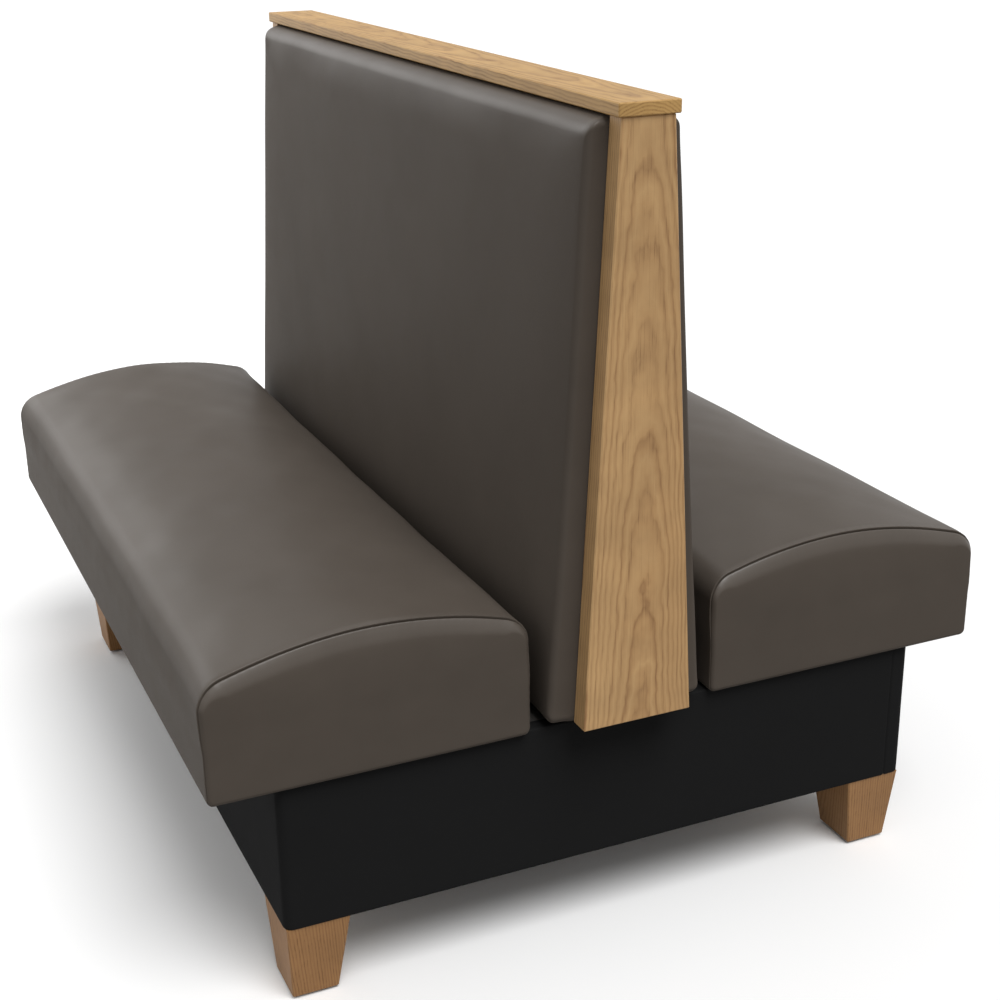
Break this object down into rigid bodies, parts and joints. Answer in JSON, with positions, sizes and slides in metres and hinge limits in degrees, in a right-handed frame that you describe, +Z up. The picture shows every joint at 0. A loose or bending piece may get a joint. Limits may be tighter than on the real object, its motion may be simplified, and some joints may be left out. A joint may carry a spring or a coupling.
{
  "type": "restaurant booth seating",
  "caption": "Back-to-back restaurant booth with crowned vinyl seats that lift off, tapered padded back, oak cap and end boards, black wrapped base and tapered oak legs.",
  "frame": {"origin": "on the floor, under the middle of the booth in both directions", "axes": "+X along the booth from end board to end board, +Y out of the back towards the rear seat, +Z up; the front seat faces -Y"},
  "size_m": [1.219, 1.022, 1.022],
  "materials": {
    "oiled_oak": "satin",
    "black_vinyl": "satin",
    "taupe_vinyl": "satin",
    "seat_foam": "matte",
    "jute_webbing": "matte",
    "nylon": "matte",
    "zinc_plated_steel": "satin",
    "plywood": "matte",
    "frame_softwood": "matte"
  },
  "bodies": {
    "booth": {"back_cover_front": "taupe_vinyl", "back_cover_rear": "taupe_vinyl", "back_end_post_left": "frame_softwood", "back_end_post_right": "frame_softwood", "back_foam_front": "seat_foam", "back_foam_rear": "seat_foam", "back_lower_rail_front": "frame_softwood", "back_lower_rail_rear": "frame_softwood", "back_panel_front": "plywood", "back_panel_rear": "plywood", "back_rib_bolts": "zinc_plated_steel", "back_rib_centre": "plywood", "back_rib_left": "plywood", "back_rib_nuts": "zinc_plated_steel", "back_rib_right": "plywood", "back_top_rail": "frame_softwood", "base_board_front": "plywood", "base_board_left": "plywood", "base_board_rear": "plywood", "base_board_right": "plywood", "base_corner_blocks": "plywood", "base_cover_front": "black_vinyl", "base_cover_rear": "black_vinyl", "base_crosspiece_centre": "plywood", "base_crosspiece_left": "plywood", "base_crosspiece_right": "plywood", "base_ledger_front": "plywood", "base_ledger_rear": "plywood", "end_board_left": "oiled_oak", "end_board_right": "oiled_oak", "end_board_screws": "zinc_plated_steel", "leg_front_left": "oiled_oak", "leg_front_right": "oiled_oak", "leg_glides": "nylon", "leg_hanger_bolts": "zinc_plated_steel", "leg_plate_screws": "zinc_plated_steel", "leg_plates": "zinc_plated_steel", "leg_rear_left": "oiled_oak", "leg_rear_right": "oiled_oak", "top_cap": "oiled_oak", "top_cap_screws": "zinc_plated_steel"},
    "front_seat": {"front_seat_cover": "taupe_vinyl", "front_seat_foam": "seat_foam", "front_seat_frame_back": "frame_softwood", "front_seat_frame_centre": "frame_softwood", "front_seat_frame_front": "frame_softwood", "front_seat_frame_left": "frame_softwood", "front_seat_frame_right": "frame_softwood", "front_seat_tongues": "frame_softwood", "front_seat_webbing": "jute_webbing"},
    "rear_seat": {"rear_seat_cover": "taupe_vinyl", "rear_seat_foam": "seat_foam", "rear_seat_frame_back": "frame_softwood", "rear_seat_frame_centre": "frame_softwood", "rear_seat_frame_front": "frame_softwood", "rear_seat_frame_left": "frame_softwood", "rear_seat_frame_right": "frame_softwood", "rear_seat_tongues": "frame_softwood", "rear_seat_webbing": "jute_webbing"}
  },
  "joints": [
    {"name": "front_seat_lift", "type": "slide", "parent": "booth", "child": "front_seat", "axis": [0, 0, 1], "range_m": [0, 0.3]},
    {"name": "rear_seat_lift", "type": "slide", "parent": "booth", "child": "rear_seat", "axis": [0, 0, 1], "range_m": [0, 0.3]}
  ]
}
